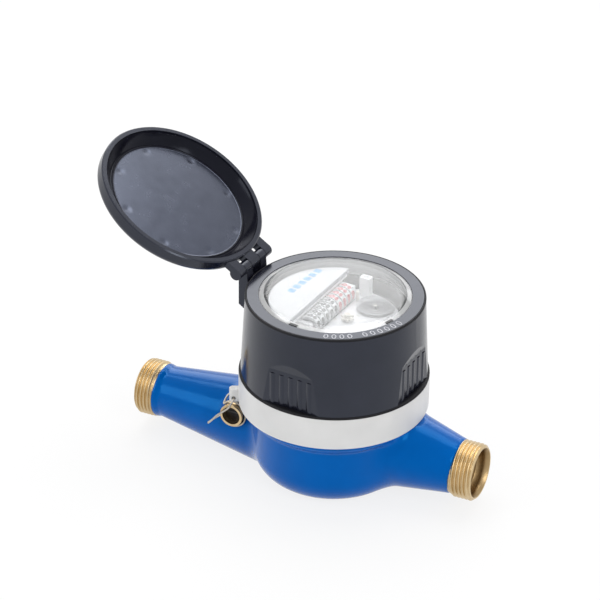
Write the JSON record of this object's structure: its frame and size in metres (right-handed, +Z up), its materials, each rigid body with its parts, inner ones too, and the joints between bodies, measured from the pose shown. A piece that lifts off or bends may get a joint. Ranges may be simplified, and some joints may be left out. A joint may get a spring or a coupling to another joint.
{
  "type": "water meter",
  "caption": "Multi-jet water meter: blue cast body with threaded pipe ends, white seal ring, black head with a hinged open lid and a clear lens over its number wheels.",
  "frame": {"origin": "centre of the flat base under the bowl, on the meter's vertical axis", "axes": "+X along the pipe towards the outlet, +Z up along the meter's axis"},
  "size_m": [0.1892, 0.0889, 0.1408],
  "materials": {
    "blue_paint": "satin",
    "brass": "machined",
    "white_plastic": "satin",
    "black_plastic": "gloss",
    "clear_plastic": "clear",
    "gear_plastic": "satin",
    "wheel_plastic": "satin",
    "steel": "brushed",
    "wire": "drawn",
    "magnet": "matte",
    "rubber": "matte"
  },
  "bodies": {
    "meter": {"meter_body": "blue_paint", "inlet_strainer": "white_plastic", "jet_chamber": "white_plastic", "chamber_cover": "white_plastic", "impeller_pivot": "steel", "body_gasket": "rubber", "pressure_plate": "steel", "seal_ring": "white_plastic", "head_ring": "black_plastic", "hinge_pin": "steel", "adjuster_plug": "brass", "adjuster_screw": "brass", "seal_wire": "wire", "register_base": "white_plastic", "dial_plate": "white_plastic", "dial_panel": "white_plastic", "counter_frame": "white_plastic", "wheel_shaft": "steel", "carry_shaft": "steel", "register_lens": "clear_plastic"},
    "cover": {"lid": "black_plastic"},
    "turbine": {"impeller": "gear_plastic", "drive_magnet": "magnet"},
    "follower": {"follower_magnet": "magnet", "follower_arbor": "gear_plastic"},
    "star": {"star_arbor": "gear_plastic", "star_indicator": "gear_plastic"},
    "transfer": {"transfer_gear": "gear_plastic"},
    "pointer": {"pointer_gear": "gear_plastic", "pointer_disc": "clear_plastic"},
    "worm": {"worm_arbor": "gear_plastic"},
    "counter_wheel_1": {"number_wheel_1": "wheel_plastic"},
    "counter_wheel_2": {"number_wheel_2": "wheel_plastic"},
    "counter_wheel_3": {"number_wheel_3": "wheel_plastic"},
    "counter_wheel_4": {"number_wheel_4": "wheel_plastic"},
    "counter_wheel_5": {"number_wheel_5": "wheel_plastic"},
    "counter_wheel_6": {"number_wheel_6": "wheel_plastic"},
    "counter_wheel_7": {"number_wheel_7": "wheel_plastic"},
    "counter_wheel_8": {"number_wheel_8": "wheel_plastic"},
    "counter_wheel_9": {"number_wheel_9": "wheel_plastic"},
    "carry_wheel_1": {"carry_pinion_1": "gear_plastic"},
    "carry_wheel_2": {"carry_pinion_2": "gear_plastic"},
    "carry_wheel_3": {"carry_pinion_3": "gear_plastic"},
    "carry_wheel_4": {"carry_pinion_4": "gear_plastic"},
    "carry_wheel_5": {"carry_pinion_5": "gear_plastic"},
    "carry_wheel_6": {"carry_pinion_6": "gear_plastic"},
    "carry_wheel_7": {"carry_pinion_7": "gear_plastic"},
    "carry_wheel_8": {"carry_pinion_8": "gear_plastic"}
  },
  "joints": [
    {"name": "lid_hinge", "type": "hinge", "parent": "meter", "child": "cover", "pos_m": [-0.04349, 0.00304, 0.0953], "axis": [0.0698, 0.9976, 0], "range_deg": [0, 149.4]},
    {"name": "impeller_spin", "type": "hinge", "parent": "meter", "child": "turbine", "pos_m": [0, 0, 0.03], "axis": [0, 0, 1], "continuous": true},
    {"name": "follower_spin", "type": "hinge", "parent": "meter", "child": "follower", "pos_m": [0, 0, 0.07], "axis": [0, 0, 1], "continuous": true},
    {"name": "star_spin", "type": "hinge", "parent": "meter", "child": "star", "pos_m": [0.00538, 0.00154, 0.076], "axis": [0, 0, 1], "continuous": true},
    {"name": "transfer_spin", "type": "hinge", "parent": "meter", "child": "transfer", "pos_m": [0.00781, 0.00746, 0.072], "axis": [0, 0, 1], "continuous": true},
    {"name": "pointer_spin", "type": "hinge", "parent": "meter", "child": "pointer", "pos_m": [0.01264, 0.01575, 0.074], "axis": [0, 0, 1], "continuous": true},
    {"name": "worm_spin", "type": "hinge", "parent": "meter", "child": "worm", "pos_m": [0.00199, 0.0198, 0.074], "axis": [0, 0, 1], "continuous": true},
    {"name": "wheel_1_spin", "type": "hinge", "parent": "meter", "child": "counter_wheel_1", "pos_m": [-0.00393, 0.01836, 0.081], "axis": [0.0698, 0.9976, 0], "continuous": true},
    {"name": "wheel_2_spin", "type": "hinge", "parent": "meter", "child": "counter_wheel_2", "pos_m": [-0.0042, 0.01442, 0.081], "axis": [0.0698, 0.9976, 0], "continuous": true},
    {"name": "wheel_3_spin", "type": "hinge", "parent": "meter", "child": "counter_wheel_3", "pos_m": [-0.00448, 0.01048, 0.081], "axis": [0.0698, 0.9976, 0], "continuous": true},
    {"name": "wheel_4_spin", "type": "hinge", "parent": "meter", "child": "counter_wheel_4", "pos_m": [-0.00476, 0.00654, 0.081], "axis": [0.0698, 0.9976, 0], "continuous": true},
    {"name": "wheel_5_spin", "type": "hinge", "parent": "meter", "child": "counter_wheel_5", "pos_m": [-0.00503, 0.0026, 0.081], "axis": [0.0698, 0.9976, 0], "continuous": true},
    {"name": "wheel_6_spin", "type": "hinge", "parent": "meter", "child": "counter_wheel_6", "pos_m": [-0.00531, -0.00134, 0.081], "axis": [0.0698, 0.9976, 0], "continuous": true},
    {"name": "wheel_7_spin", "type": "hinge", "parent": "meter", "child": "counter_wheel_7", "pos_m": [-0.00558, -0.00528, 0.081], "axis": [0.0698, 0.9976, 0], "continuous": true},
    {"name": "wheel_8_spin", "type": "hinge", "parent": "meter", "child": "counter_wheel_8", "pos_m": [-0.00586, -0.00922, 0.081], "axis": [0.0698, 0.9976, 0], "continuous": true},
    {"name": "wheel_9_spin", "type": "hinge", "parent": "meter", "child": "counter_wheel_9", "pos_m": [-0.00613, -0.01317, 0.081], "axis": [0.0698, 0.9976, 0], "continuous": true},
    {"name": "carry_1_spin", "type": "hinge", "parent": "meter", "child": "carry_wheel_1", "pos_m": [-0.00965, 0.01678, 0.081], "axis": [0.0698, 0.9976, 0], "continuous": true},
    {"name": "carry_2_spin", "type": "hinge", "parent": "meter", "child": "carry_wheel_2", "pos_m": [-0.00993, 0.01284, 0.081], "axis": [0.0698, 0.9976, 0], "continuous": true},
    {"name": "carry_3_spin", "type": "hinge", "parent": "meter", "child": "carry_wheel_3", "pos_m": [-0.0102, 0.0089, 0.081], "axis": [0.0698, 0.9976, 0], "continuous": true},
    {"name": "carry_4_spin", "type": "hinge", "parent": "meter", "child": "carry_wheel_4", "pos_m": [-0.01048, 0.00496, 0.081], "axis": [0.0698, 0.9976, 0], "continuous": true},
    {"name": "carry_5_spin", "type": "hinge", "parent": "meter", "child": "carry_wheel_5", "pos_m": [-0.01076, 0.00102, 0.081], "axis": [0.0698, 0.9976, 0], "continuous": true},
    {"name": "carry_6_spin", "type": "hinge", "parent": "meter", "child": "carry_wheel_6", "pos_m": [-0.01103, -0.00292, 0.081], "axis": [0.0698, 0.9976, 0], "continuous": true},
    {"name": "carry_7_spin", "type": "hinge", "parent": "meter", "child": "carry_wheel_7", "pos_m": [-0.01131, -0.00686, 0.081], "axis": [0.0698, 0.9976, 0], "continuous": true},
    {"name": "carry_8_spin", "type": "hinge", "parent": "meter", "child": "carry_wheel_8", "pos_m": [-0.01158, -0.0108, 0.081], "axis": [0.0698, 0.9976, 0], "continuous": true}
  ],
  "couplings": [
    {"joint": "follower_spin", "follows": "impeller_spin", "ratio": 1},
    {"joint": "star_spin", "follows": "impeller_spin", "ratio": -1},
    {"joint": "transfer_spin", "follows": "impeller_spin", "ratio": -0.35},
    {"joint": "pointer_spin", "follows": "impeller_spin", "ratio": 0.11667},
    {"joint": "worm_spin", "follows": "impeller_spin", "ratio": -0.2},
    {"joint": "wheel_1_spin", "follows": "impeller_spin", "ratio": 0.01},
    {"joint": "wheel_2_spin", "follows": "impeller_spin", "ratio": 0.001},
    {"joint": "wheel_3_spin", "follows": "impeller_spin", "ratio": 0.0001},
    {"joint": "wheel_4_spin", "follows": "impeller_spin", "ratio": 0.00001},
    {"joint": "wheel_5_spin", "follows": "impeller_spin", "ratio": 0.000001},
    {"joint": "wheel_6_spin", "follows": "impeller_spin", "ratio": 0.0000001},
    {"joint": "wheel_7_spin", "follows": "impeller_spin", "ratio": 0.00000001},
    {"joint": "wheel_8_spin", "follows": "impeller_spin", "ratio": 0.000000001},
    {"joint": "wheel_9_spin", "follows": "impeller_spin", "ratio": 0.0000000001},
    {"joint": "carry_1_spin", "follows": "impeller_spin", "ratio": -0.0025},
    {"joint": "carry_2_spin", "follows": "impeller_spin", "ratio": -0.00025},
    {"joint": "carry_3_spin", "follows": "impeller_spin", "ratio": -0.000025},
    {"joint": "carry_4_spin", "follows": "impeller_spin", "ratio": -0.0000025},
    {"joint": "carry_5_spin", "follows": "impeller_spin", "ratio": -0.00000025},
    {"joint": "carry_6_spin", "follows": "impeller_spin", "ratio": -0.000000025},
    {"joint": "carry_7_spin", "follows": "impeller_spin", "ratio": -0.0000000025},
    {"joint": "carry_8_spin", "follows": "impeller_spin", "ratio": -0.00000000025}
  ]
}
